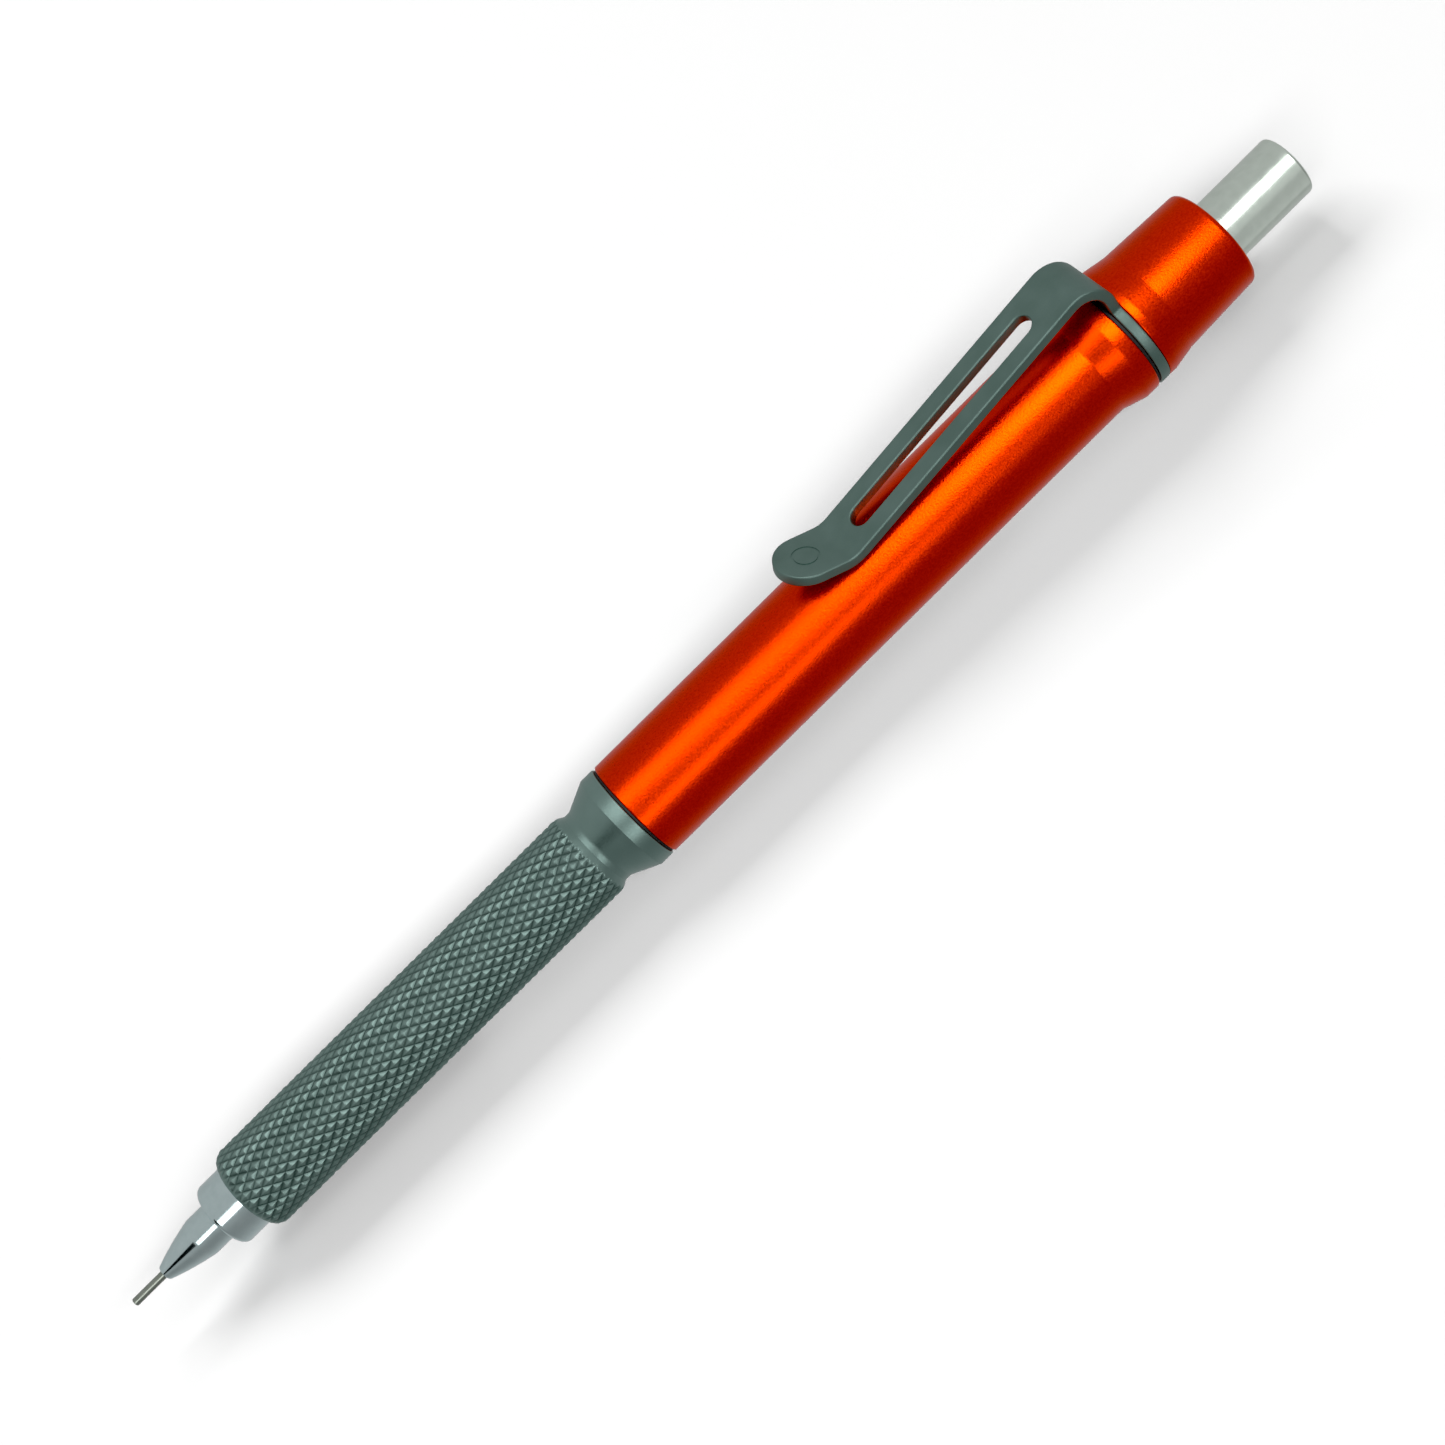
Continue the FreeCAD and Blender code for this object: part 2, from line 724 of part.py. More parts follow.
def cut_clip_slot(body):
    """Cut the long slot with round ends through the arm."""
    half = "clip_slot_width / 2"
    sketch = outline_sketch(body, "slot_outline", "XY_Plane", [
        (f"clip_slot_start + {half}", half),
        (f"clip_slot_end - {half}", half, half),
        (f"clip_slot_end - {half}", f"-{half}"),
        (f"clip_slot_start + {half}", f"-{half}", half),
    ])
    cut(body, "Pocket", "slot", Profile=sketch, Type="ThroughAll", SideType="Symmetric")


def check_document():
    """Stop if any object failed or any sub-part is not a valid shape."""
    for item in doc.Objects:
        if "Invalid" in item.State or "Error" in item.State:
            raise RuntimeError(f"{item.Label} failed: {item.State}")
    for item in doc.Objects:
        if item.TypeId == "Sketcher::SketchObject" and not item.FullyConstrained:
            print("not fully constrained:", item.Label)


def sub_parts():
    """Every body, and the group of spare leads."""
    kinds = ("PartDesign::Body", "Part::Compound")
    return [item for item in doc.Objects if item.TypeId in kinds]


def export_all():
    """Write each sub-part's shape to its own file."""
    os.makedirs("parts", exist_ok=True)
    for item in sub_parts():
        if item.Shape.isNull() or not item.Shape.isValid():
            raise RuntimeError(f"{item.Label} has no valid shape")
        item.Shape.exportStep(f"parts/{item.Label}.step")
        box = item.Shape.BoundBox
        print(f"{item.Label:18s} volume {item.Shape.Volume:9.2f}  x {box.XMin:7.2f} to {box.XMax:7.2f}"
              f"  z {box.ZMin:6.2f} to {box.ZMax:6.2f}")


fill_sheet()
make_lead_sleeve()
make_tip_cone()
make_lead_retainer()
make_grip()
make_seal("front_seal", "flange_end", "barrel_start", "barrel_radius")
make_barrel()
make_seal("rear_seal", "barrel_end", "clip_plate_start", "flare_radius")
make_clip_ring()
make_clip_arm()
make_end_cap()
make_knock_button()
make_lead_tube()
make_eraser()
make_clean_out_pin()
make_mechanism_sleeve()
make_chuck()
make_clutch_ring()
make_chuck_connector()
make_return_spring()
make_writing_lead()
make_spare_leads()
check_document()
export_all()
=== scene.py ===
"""Looks for the drafting pencil: turned sleeves, knurled grip, bent clip plate and studio.

Every length is in metres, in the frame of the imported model: the pencil lies along X with its
writing end towards -X and its clip towards +Z. A station is a distance along the axis from the
writing end, and a radius is measured from the axis.
"""

import json
import math

import bmesh
import bpy
import numpy as np
from mathutils import Matrix, Vector


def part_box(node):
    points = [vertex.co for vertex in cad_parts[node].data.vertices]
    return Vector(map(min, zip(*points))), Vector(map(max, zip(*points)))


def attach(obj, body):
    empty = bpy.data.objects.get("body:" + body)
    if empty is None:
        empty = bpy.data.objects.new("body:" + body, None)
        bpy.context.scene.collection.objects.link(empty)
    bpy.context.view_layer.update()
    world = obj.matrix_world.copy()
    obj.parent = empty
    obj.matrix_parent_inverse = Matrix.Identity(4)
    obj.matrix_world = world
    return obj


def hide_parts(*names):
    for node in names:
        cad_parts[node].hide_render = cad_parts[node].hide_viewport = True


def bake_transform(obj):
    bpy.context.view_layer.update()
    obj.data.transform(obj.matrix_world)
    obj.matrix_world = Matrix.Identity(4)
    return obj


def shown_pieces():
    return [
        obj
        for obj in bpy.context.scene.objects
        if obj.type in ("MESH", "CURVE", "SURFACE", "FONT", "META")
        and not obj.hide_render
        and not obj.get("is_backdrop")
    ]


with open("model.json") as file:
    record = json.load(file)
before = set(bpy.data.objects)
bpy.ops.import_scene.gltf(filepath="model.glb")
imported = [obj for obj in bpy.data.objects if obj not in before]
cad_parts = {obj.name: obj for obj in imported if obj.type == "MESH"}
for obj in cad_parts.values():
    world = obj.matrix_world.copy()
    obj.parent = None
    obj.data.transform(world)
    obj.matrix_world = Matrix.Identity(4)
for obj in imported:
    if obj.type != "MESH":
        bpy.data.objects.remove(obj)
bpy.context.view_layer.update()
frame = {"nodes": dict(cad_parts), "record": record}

MM = 0.001


def box_of(node):
    """Lowest and highest corner of a node."""
    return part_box(node)


def middle_height(node):
    """Height of the middle of a node's box."""
    low, high = box_of(node)
    return (low[2] + high[2]) / 2


AXIS_HEIGHT = middle_height("barrel")
TIP_X = box_of("lead_sleeve")[0][0]


def station(x):
    """Distance of an x coordinate from the writing end."""
    return x - TIP_X


def span(node):
    """First and last station of a node."""
    low, high = box_of(node)
    return station(low[0]), station(high[0])


def half_width(node):
    """Largest radius of a turned node."""
    low, high = box_of(node)
    return (high[1] - low[1]) / 2


def axis_point(at):
    """Point on the pencil's axis at a station."""
    return Vector((TIP_X + at, 0, AXIS_HEIGHT))


# ---------------------------------------------------------------- camera

CAMERA_OFFSET = Vector((81.5, -137.4, 150.0)) * MM
CAMERA_AIM_STATION = 72.4 * MM
CAMERA_LENS = 58.8
AXIS_TILT = math.radians(44.65)


def add_camera():
    """Camera that sees the axis rise to the upper right through the middle of the frame."""
    data = bpy.data.cameras.new("camera")
    data.lens = CAMERA_LENS
    data.sensor_width = 36
    data.clip_start = 0.005
    data.clip_end = 20
    camera = bpy.data.objects.new("camera", data)
    bpy.context.collection.objects.link(camera)
    eye = axis_point(0) + CAMERA_OFFSET
    forward = (axis_point(CAMERA_AIM_STATION) - eye).normalized()
    along = Vector((1, 0, 0))
    along = (along - forward * along.dot(forward)).normalized()
    across = (-forward).cross(along)
    right = along * math.cos(AXIS_TILT) - across * math.sin(AXIS_TILT)
    up = along * math.sin(AXIS_TILT) + across * math.cos(AXIS_TILT)
    turn = Matrix((right, up, -forward)).transposed()
    camera.matrix_world = Matrix.Translation(eye) @ turn.to_4x4()
    bpy.context.scene.camera = camera


add_camera()


# ---------------------------------------------------------------- materials

class Nodes:
    """Short way to build a material's node tree."""

    def __init__(self, name, **sockets):
        self.material = bpy.data.materials.new(name)
        self.material.use_nodes = True
        self.tree = self.material.node_tree
        self.shader = self.tree.nodes["Principled BSDF"]
        self.place = self.add("ShaderNodeTexCoord").outputs["Object"]
        for socket, value in sockets.items():
            self.shader.inputs[socket.replace("_", " ")].default_value = value

    def add(self, kind, **settings):
        """A new node. A setting is a node attribute or the value of an input socket."""
        node = self.tree.nodes.new(kind)
        for name, value in settings.items():
            if hasattr(node, name):
                setattr(node, name, value)
            else:
                node.inputs[name.replace("_", " ")].default_value = value
        return node

    def link(self, output, target):
        """Join an output to an input."""
        self.tree.links.new(output, target)

    def noise(self, size, detail=2.0, roughness=0.5, stretch=(1, 1, 1)):
        """Noise whose features are about size metres across."""
        scaled = self.add("ShaderNodeMapping")
        scaled.inputs["Scale"].default_value = stretch
        self.link(self.place, scaled.inputs["Vector"])
        noise = self.add("ShaderNodeTexNoise", Scale=1 / size, Detail=detail, Roughness=roughness)
        self.link(scaled.outputs["Vector"], noise.inputs["Vector"])
        return noise.outputs["Fac"]

    def ramp(self, source, low, high, start=0.3, end=0.7):
        """Map a source to a colour or grey between low and high."""
        ramp = self.add("ShaderNodeValToRGB")
        ramp.color_ramp.elements[0].position = start
        ramp.color_ramp.elements[1].position = end
        ramp.color_ramp.elements[0].color = rgba(low)
        ramp.color_ramp.elements[1].color = rgba(high)
        self.link(source, ramp.inputs["Fac"])
        return ramp.outputs["Color"]

    def bump(self, source, depth):
        """A bump of the given depth in metres."""
        bump = self.add("ShaderNodeBump", Distance=depth, Strength=1.0)
        self.link(source, bump.inputs["Height"])
        return bump.outputs["Normal"]

    def finish(self, color=None, roughness=None, normal=None):
        """Join what was made to the shader."""
        for source, name in ((color, "Base Color"), (roughness, "Roughness"), (normal, "Normal")):
            if source is not None:
                self.link(source, self.shader.inputs[name])
        return self.material


def rgba(value):
    """A grey level or a colour as four channels."""
    if isinstance(value, (int, float)):
        value = (value, value, value)
    return (*value, 1.0)


BLAST_GRAIN = 0.12 * MM
CLOUD_SIZE = 3.0 * MM
TURNING_RING = 0.06 * MM
RING_STRETCH = (1, 0.02, 0.02)
WIPE_MARK = 0.8 * MM


def blasted_metal(name, dark, light, rough_low, rough_high, grain, depth):
    """Bead-blasted metal: fine pits that sparkle, and faint larger clouds of tone."""
    nodes = Nodes(name, Metallic=1.0)
    fine = nodes.noise(grain, detail=3.0, roughness=0.6)
    clouds = nodes.noise(CLOUD_SIZE, detail=2.0)
    color = nodes.ramp(clouds, dark, light)
    roughness = nodes.ramp(fine, rough_low, rough_high)
    normal = nodes.bump(fine, depth)
    return nodes.finish(color, roughness, normal)


def sparkling_metal(name, dull, bright, rough_low, rough_high, grain, depth):
    """Coloured blasted metal whose single grains catch the light."""
    nodes = Nodes(name, Metallic=1.0)
    fine = nodes.noise(grain, detail=2.0, roughness=0.6)
    color = nodes.ramp(fine, dull, bright, start=0.35, end=0.65)
    roughness = nodes.ramp(fine, rough_low, rough_high)
    normal = nodes.bump(fine, depth)
    return nodes.finish(color, roughness, normal)


def knurled_metal(name, painted_groove_shade, **finish):
    """Blasted metal with painted shade in its grooves: the base colour darkens by the mesh's own
    groove attribute.
    """
    nodes = Nodes(name, Metallic=1.0)
    fine = nodes.noise(finish["grain"], detail=3.0, roughness=0.6)
    clouds = nodes.noise(CLOUD_SIZE, detail=2.0)
    clean = nodes.ramp(clouds, finish["dark"], finish["light"])
    groove = nodes.add("ShaderNodeAttribute", attribute_name="groove").outputs["Fac"]
    # painted shade: the base colour is multiplied down towards the bottom of each groove
    shade = nodes.ramp(groove, 1.0, painted_groove_shade, start=0.45, end=0.95)
    mix = nodes.add("ShaderNodeMix", data_type="RGBA", blend_type="MULTIPLY")
    mix.inputs["Factor"].default_value = 1.0
    nodes.link(clean, mix.inputs["A"])
    nodes.link(shade, mix.inputs["B"])
    roughness = nodes.ramp(fine, finish["rough_low"], finish["rough_high"])
    normal = nodes.bump(fine, finish["depth"])
    return nodes.finish(mix.outputs["Result"], roughness, normal)


def turned_metal(name, dark, light, rough_low, rough_high, depth):
    """Lathe-turned metal: hair-fine rings round the axis and faint wipe marks."""
    nodes = Nodes(name, Metallic=1.0)
    rings = nodes.noise(TURNING_RING, detail=3.0, stretch=RING_STRETCH)
    marks = nodes.noise(WIPE_MARK, detail=3.0)
    color = nodes.ramp(marks, dark, light)
    roughness = nodes.ramp(marks, rough_low, rough_high)
    normal = nodes.bump(rings, depth)
    return nodes.finish(color, roughness, normal)


def plain_matt(name, dark, light, rough_low, rough_high, grain, depth, **sockets):
    """Rubber, plastic or lead: a slightly uneven matt skin."""
    nodes = Nodes(name, **sockets)
    skin = nodes.noise(grain, detail=4.0)
    color = nodes.ramp(skin, dark, light)
    roughness = nodes.ramp(skin, rough_low, rough_high)
    normal = nodes.bump(skin, depth)
    return nodes.finish(color, roughness, normal)


MATERIALS = {
    "titanium": blasted_metal("titanium", (0.18, 0.27, 0.24), (0.215, 0.315, 0.285), 0.40, 0.52,
                              BLAST_GRAIN, 0.010 * MM),
    # painted shade darkens the knurl's grooves to half of the base colour
    "knurled_titanium": knurled_metal("knurled_titanium", 0.5, dark=(0.245, 0.36, 0.33),
                                      light=(0.28, 0.405, 0.375), rough_low=0.30, rough_high=0.42,
                                      grain=BLAST_GRAIN, depth=0.008 * MM),
    "orange_aluminium": sparkling_metal("orange_aluminium", (0.82, 0.043, 0.0012),
                                        (0.97, 0.058, 0.0017), 0.27, 0.35, 0.18 * MM, 0.015 * MM),
    "polished_steel": turned_metal("polished_steel", (0.68, 0.83, 0.84), (0.74, 0.89, 0.90),
                                   0.10, 0.14, 0.0002 * MM),
    "dull_steel": turned_metal("dull_steel", (0.34, 0.38, 0.33), (0.42, 0.46, 0.40),
                               0.26, 0.34, 0.0003 * MM),
    "satin_steel": turned_metal("satin_steel", (0.82, 0.92, 0.83), (0.88, 0.98, 0.89),
                                0.19, 0.25, 0.0003 * MM),
    "spring_steel": turned_metal("spring_steel", (0.50, 0.50, 0.51), (0.60, 0.60, 0.61),
                                 0.25, 0.35, 0.0003 * MM),
    "brass": turned_metal("brass", (0.70, 0.47, 0.18), (0.80, 0.56, 0.25),
                          0.18, 0.28, 0.0005 * MM),
    "black_rubber": plain_matt("black_rubber", 0.008, 0.016, 0.55, 0.70, 0.2 * MM, 0.004 * MM),
    "tube_plastic": plain_matt("tube_plastic", 0.018, 0.028, 0.35, 0.50, 0.3 * MM, 0.003 * MM),
    "white_eraser": plain_matt("white_eraser", 0.74, 0.82, 0.65, 0.80, 0.4 * MM, 0.01 * MM),
    "graphite": plain_matt("graphite", 0.035, 0.06, 0.30, 0.45, 0.1 * MM, 0.004 * MM,
                           Specular_IOR_Level=0.8),
}


# ---------------------------------------------------------------- mesh helpers

ROUND_STEPS = 160
FINE_STEPS = 192
SLEEVE_STEPS = 64
SMOOTH_ANGLE = math.radians(32)
ARC_STEP = math.radians(7)


def rounded(corners):
    """Points of a closed outline. A corner is (x, r) or (x, r, rounding)."""
    points = []
    count = len(corners)
    for index, corner in enumerate(corners):
        here = Vector(corner[:2])
        if len(corner) == 2:
            points.append(tuple(here))
            continue
        before = (Vector(corners[index - 1][:2]) - here).normalized()
        after = (Vector(corners[(index + 1) % count][:2]) - here).normalized()
        half_angle = before.angle(after) / 2
        centre = here + (before + after).normalized() * (corner[2] / math.sin(half_angle))
        start = here + before * (corner[2] / math.tan(half_angle)) - centre
        sweep = start.angle_signed(here + after * (corner[2] / math.tan(half_angle)) - centre)
        steps = max(3, math.ceil(abs(sweep) / ARC_STEP))
        for step in range(steps + 1):
            turn = -sweep * step / steps
            ray = Vector((
                start.x * math.cos(turn) - start.y * math.sin(turn),
                start.x * math.sin(turn) + start.y * math.cos(turn),
            ))
            points.append(tuple(centre + ray))
    return points


def new_piece(name, vertices, faces, slot, body, smooth_angle=SMOOTH_ANGLE):
    """A mesh object with its material, on its body."""
    mesh = bpy.data.meshes.new(name)
    mesh.from_pydata(vertices, [], faces)
    return finished_piece(name, mesh, slot, body, smooth_angle)


def finished_piece(name, mesh, slot, body=None, smooth_angle=SMOOTH_ANGLE):
    """Clean a mesh, shade it and make its object."""
    shaped = bmesh.new()
    shaped.from_mesh(mesh)
    bmesh.ops.recalc_face_normals(shaped, faces=shaped.faces)
    shaped.to_mesh(mesh)
    shaped.free()
    mesh.shade_smooth()
    mesh.set_sharp_from_angle(angle=smooth_angle)
    mesh.materials.clear()
    mesh.materials.append(MATERIALS[slot])
    piece = bpy.data.objects.new(name, mesh)
    bpy.context.collection.objects.link(piece)
    if body is not None:
        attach(piece, body)
    return piece


def ring_of(at, radius, steps):
    """Points round the axis at one station."""
    points = []
    for step in range(steps):
        angle = 2 * math.pi * step / steps
        outward = Vector((0, radius * math.sin(angle), radius * math.cos(angle)))
        points.append(axis_point(at) + outward)
    return points


def turned(name, corners, slot, body, steps=ROUND_STEPS):
    """A solid turned round the axis from a closed outline of corners."""
    on_axis = 1e-9
    vertices = []
    rows = []
    for at, radius in rounded(corners):
        start = len(vertices)
        if radius < on_axis:
            vertices.append(axis_point(at))
            rows.append([start] * steps)
        else:
            vertices.extend(ring_of(at, radius, steps))
            rows.append(list(range(start, start + steps)))
    faces = []
    for row, following in zip(rows, rows[1:] + rows[:1]):
        for step in range(steps):
            beside = (step + 1) % steps
            face = [row[step], row[beside], following[beside], following[step]]
            unique = list(dict.fromkeys(face))
            if len(unique) > 2:
                faces.append(unique)
    return new_piece(name, vertices, faces, slot, body)


# ---------------------------------------------------------------- turned pieces

sleeve_start, sleeve_end = span("lead_sleeve")
tip_start, tip_end = span("tip_cone")
grip_start, joint_end = span("grip")
flange_end, barrel_start = span("front_seal")
barrel_end, plate_start = span("rear_seal")
plate_end = span("clip_ring")[1]
cap_inner_end, cap_end = span("end_cap")
button_start, button_end = span("knock_button")
BARREL_RADIUS = 5.0 * MM
GRIP_RADIUS = 4.25 * MM
JOINT_RADIUS = 4.0 * MM
TUBE_ROOM_RADIUS = 3.2 * MM
BARREL_BORE = 3.6 * MM
SEAL_RECESS = 0.2 * MM
EDGE = 0.15 * MM
JOINT_GAP = 0.2 * MM
flare_radius = half_width("barrel")
collar_radius = half_width("tip_cone")
sleeve_radius = half_width("lead_sleeve")
button_radius = half_width("knock_button")


def make_sleeve():
    """Thin guide tube with a slightly rounded mouth."""
    bore = 0.3 * MM
    mouth = 0.06 * MM
    piece = turned("guide_sleeve", [
        (sleeve_start, bore),
        (sleeve_start, sleeve_radius, mouth),
        (sleeve_end, sleeve_radius),
        (sleeve_end, bore),
    ], "polished_steel", "tip", steps=SLEEVE_STEPS)
    piece.data.materials[0] = MATERIALS["dull_steel"]
    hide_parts("lead_sleeve")


def crowned(start, end, crown_radius, steps=12):
    """Points of a slightly bulged line between two (station, radius) points, without its ends."""
    first, last = Vector(start), Vector(end)
    chord = last - first
    outward = Vector((-chord.y, chord.x)).normalized()
    half = chord.length / 2
    depth = math.sqrt(crown_radius ** 2 - half ** 2)
    centre = (first + last) / 2 - outward * depth
    points = []
    for step in range(1, steps):
        flat = first + chord * (step / steps)
        ray = (flat - centre).normalized()
        points.append(tuple(centre + ray * crown_radius))
    return points


def thread_corners(start, pitch, turns, crest, root):
    """Outline of a thread drawn as rings: a notch for each turn."""
    flank = pitch * 0.45
    corners = []
    for turn in range(turns):
        middle = start + pitch * turn
        corners += [(middle - flank, crest), (middle, root), (middle + flank, crest)]
    return corners


def make_tip():
    """Crowned cone, cylinder, collar and threaded spigot, with the lead retainer's seat inside."""
    nose = (tip_start, 0.72 * MM)
    nose_rounding = 0.28 * MM
    nose_end = (8.35 * MM, 1.965 * MM)
    crown_radius = 30 * MM
    collar_start = 10.9 * MM
    collar_rounding = 0.5 * MM
    shoulder = grip_start - 0.02 * MM
    shoulder_edge = 0.05 * MM
    thread_start, thread_pitch, thread_turns = 14.9 * MM, 0.5 * MM, 9
    thread_crest, thread_root = 2.75 * MM, 2.55 * MM
    spigot_bore = 2.27 * MM
    taper_start, taper_end, taper_radius = 9.8 * MM, 16.0 * MM, 1.56 * MM
    seat_start, seat_end, seat_radius = 7.6 * MM, 9.7 * MM, 1.1 * MM
    passage = 0.35 * MM
    piece = turned("nose_cone", [
        (tip_start, sleeve_radius),
        (*nose, nose_rounding),
        *crowned(nose, nose_end, crown_radius)[1:],
        nose_end,
        (collar_start, nose_end[1]),
        (collar_start, collar_radius, collar_rounding),
        (shoulder, collar_radius, shoulder_edge),
        (shoulder, thread_crest),
        *thread_corners(thread_start, thread_pitch, thread_turns, thread_crest, thread_root),
        (tip_end, thread_root),
        (tip_end, spigot_bore),
        (taper_end, spigot_bore),
        (taper_start, taper_radius),
        (seat_end, seat_radius),
        (seat_start, seat_radius),
        (seat_start, passage),
        (sleeve_end, passage),
        (sleeve_end, sleeve_radius),
    ], "polished_steel", "tip", steps=FINE_STEPS)
    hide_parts("tip_cone")


def make_barrel():
    """Plain tube that flares at its rear end."""
    flare_start = 115.6 * MM
    flare_top = 117.8 * MM
    blend = 0.9 * MM
    rear_step = cap_inner_end - JOINT_GAP
    front_step = joint_end + JOINT_GAP
    piece = turned("barrel_tube", [
        (barrel_start, JOINT_RADIUS),
        (barrel_start, BARREL_RADIUS, EDGE),
        (flare_start, BARREL_RADIUS, blend),
        (flare_top, flare_radius, blend),
        (barrel_end, flare_radius, EDGE),
        (barrel_end, JOINT_RADIUS),
        (rear_step, JOINT_RADIUS),
        (rear_step, BARREL_BORE),
        (front_step, BARREL_BORE),
        (front_step, JOINT_RADIUS),
    ], "orange_aluminium", "barrel", steps=FINE_STEPS)
    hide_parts("barrel")


def make_seal(name, node, start, end, radius):
    """A flat rubber ring with a softly rounded rim."""
    rim = 0.06 * MM
    piece = turned(name, [
        (start, JOINT_RADIUS),
        (start, radius - SEAL_RECESS, rim),
        (end, radius - SEAL_RECESS, rim),
        (end, JOINT_RADIUS),
    ], "black_rubber", "barrel")
    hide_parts(node)


def make_cap():
    """Cap that narrows behind the clip ring and tapers to its open end."""
    rim_end = 121.3 * MM
    taper_start = 123.4 * MM
    taper_radius = 5.32 * MM
    blend = 1.2 * MM
    end_rounding = 0.5 * MM
    bore = 3.05 * MM
    piece = turned("barrel_cap", [
        (cap_inner_end, bore),
        (cap_inner_end, JOINT_RADIUS),
        (plate_end, JOINT_RADIUS),
        (plate_end, flare_radius, EDGE),
        (rim_end, flare_radius, blend),
        (taper_start, taper_radius, blend),
        (cap_end, BARREL_RADIUS, end_rounding),
        (cap_end, bore, EDGE),
    ], "orange_aluminium", "barrel", steps=FINE_STEPS)
    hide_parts("end_cap")


def make_button():
    """Button with a closed end and room for the eraser."""
    seat = 134.6 * MM
    room_end = 138.5 * MM
    tube_bore = 2.22 * MM
    room = 1.8 * MM
    end_rounding = 0.3 * MM
    piece = turned("push_button", [
        (button_start, tube_bore),
        (button_start, button_radius, EDGE),
        (button_end, button_radius, end_rounding),
        (button_end, 0),
        (room_end, 0),
        (room_end, room),
        (seat, room),
        (seat, tube_bore),
    ], "satin_steel", "button", steps=FINE_STEPS)
    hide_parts("knock_button")


def make_spring():
    """Return spring: one end rests on the housing and the other on the plunger."""
    first, last = span("return_spring")
    wire = 0.2 * MM
    coil_radius = half_width("return_spring") - wire
    turns = 9
    steps_in_turn = 36
    sides = 12
    steps = turns * steps_in_turn
    rise = last - first - 2 * wire
    vertices = []
    for step in range(steps + 1):
        angle = 2 * math.pi * step / steps_in_turn
        outward = Vector((0, math.sin(angle), math.cos(angle)))
        centre = axis_point(first + wire + rise * step / steps) + outward * coil_radius
        for side in range(sides):
            lean = 2 * math.pi * side / sides
            sideways = Vector((wire * math.sin(lean), 0, 0))
            vertices.append(centre + outward * (wire * math.cos(lean)) + sideways)
    faces = [tuple(range(sides)), tuple(range(steps * sides, (steps + 1) * sides))]
    for step in range(steps):
        here = step * sides
        for side in range(sides):
            beside = (side + 1) % sides
            there = here + sides
            faces.append((here + side, here + beside, there + beside, there + side))
    piece = new_piece("return_coil", vertices, faces, "spring_steel", None)
    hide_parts("return_spring")
    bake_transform(piece)


# ---------------------------------------------------------------- knurled grip

KNURL_STARTS = 28
KNURL_PERIOD = 1.565 * MM
KNURL_DEPTH = 0.18 * MM
KNURL_FLAT = 0.85
KNURL_CELLS = 8
KNURL_STEPS = KNURL_STARTS * KNURL_CELLS
KNURL_TURNS = np.arange(KNURL_STEPS) / KNURL_STEPS
KNURL_SMOOTH_ANGLE = math.radians(20)
FRONT_ROUNDING = 0.95 * MM
knurl_origin = grip_start + FRONT_ROUNDING


def knurl_height(turns, along):
    """Height of the crossed grooves' pyramids, 0 in a groove and 1 on top."""
    around = turns * KNURL_STARTS
    first = np.abs(np.mod(around + along / KNURL_PERIOD + 0.5, 1.0) - 0.5) * 2
    second = np.abs(np.mod(around - along / KNURL_PERIOD + 0.5, 1.0) - 0.5) * 2
    return np.minimum(np.minimum(first, second) / KNURL_FLAT, 1.0)


def knurl_rows(knurl_end, chamfer_end, chamfer_radius):
    """Rows of the knurled stretch: station, radius without grooves, and share of the full depth."""
    rows = []
    rounding_steps = 9
    for step in range(rounding_steps):
        turn = math.pi / 2 * step / rounding_steps
        at = grip_start + FRONT_ROUNDING * (1 - math.cos(turn))
        radius = GRIP_RADIUS - FRONT_ROUNDING * (1 - math.sin(turn))
        rows.append((at, radius, math.sin(turn) ** 2))
    spacing = KNURL_PERIOD / KNURL_CELLS
    count = int((knurl_end - knurl_origin) / spacing)
    for step in range(count + 1):
        rows.append((knurl_origin + step * spacing, GRIP_RADIUS, 1.0))
    chamfer_steps = 6
    for step in range(chamfer_steps + 1):
        share = step / chamfer_steps
        at = knurl_end + (chamfer_end - knurl_end) * share
        rows.append((at, GRIP_RADIUS + (chamfer_radius - GRIP_RADIUS) * share, 1.0))
    return rows


def plain_faces(here, there):
    """Four-sided faces between two rows of vertices."""
    faces = []
    for step in range(KNURL_STEPS):
        beside = (step + 1) % KNURL_STEPS
        faces.append((here[step], here[beside], there[beside], there[step]))
    return faces


def knurled_faces(here, there, first_at, second_at):
    """Triangles between two knurled rows, each cell split along its truer diagonal."""
    middle_turns = KNURL_TURNS + 0.5 / KNURL_STEPS
    true_height = knurl_height(middle_turns, (first_at + second_at) / 2 - knurl_origin)
    first_row = knurl_height(KNURL_TURNS, first_at - knurl_origin)
    second_row = knurl_height(KNURL_TURNS, second_at - knurl_origin)
    falling = (first_row + np.roll(second_row, -1)) / 2
    rising = (np.roll(first_row, -1) + second_row) / 2
    use_falling = np.abs(falling - true_height) <= np.abs(rising - true_height)
    faces = []
    for step in range(KNURL_STEPS):
        beside = (step + 1) % KNURL_STEPS
        if use_falling[step]:
            faces.append((here[step], here[beside], there[beside]))
            faces.append((here[step], there[beside], there[step]))
        else:
            faces.append((here[step], here[beside], there[step]))
            faces.append((here[beside], there[beside], there[step]))
    return faces


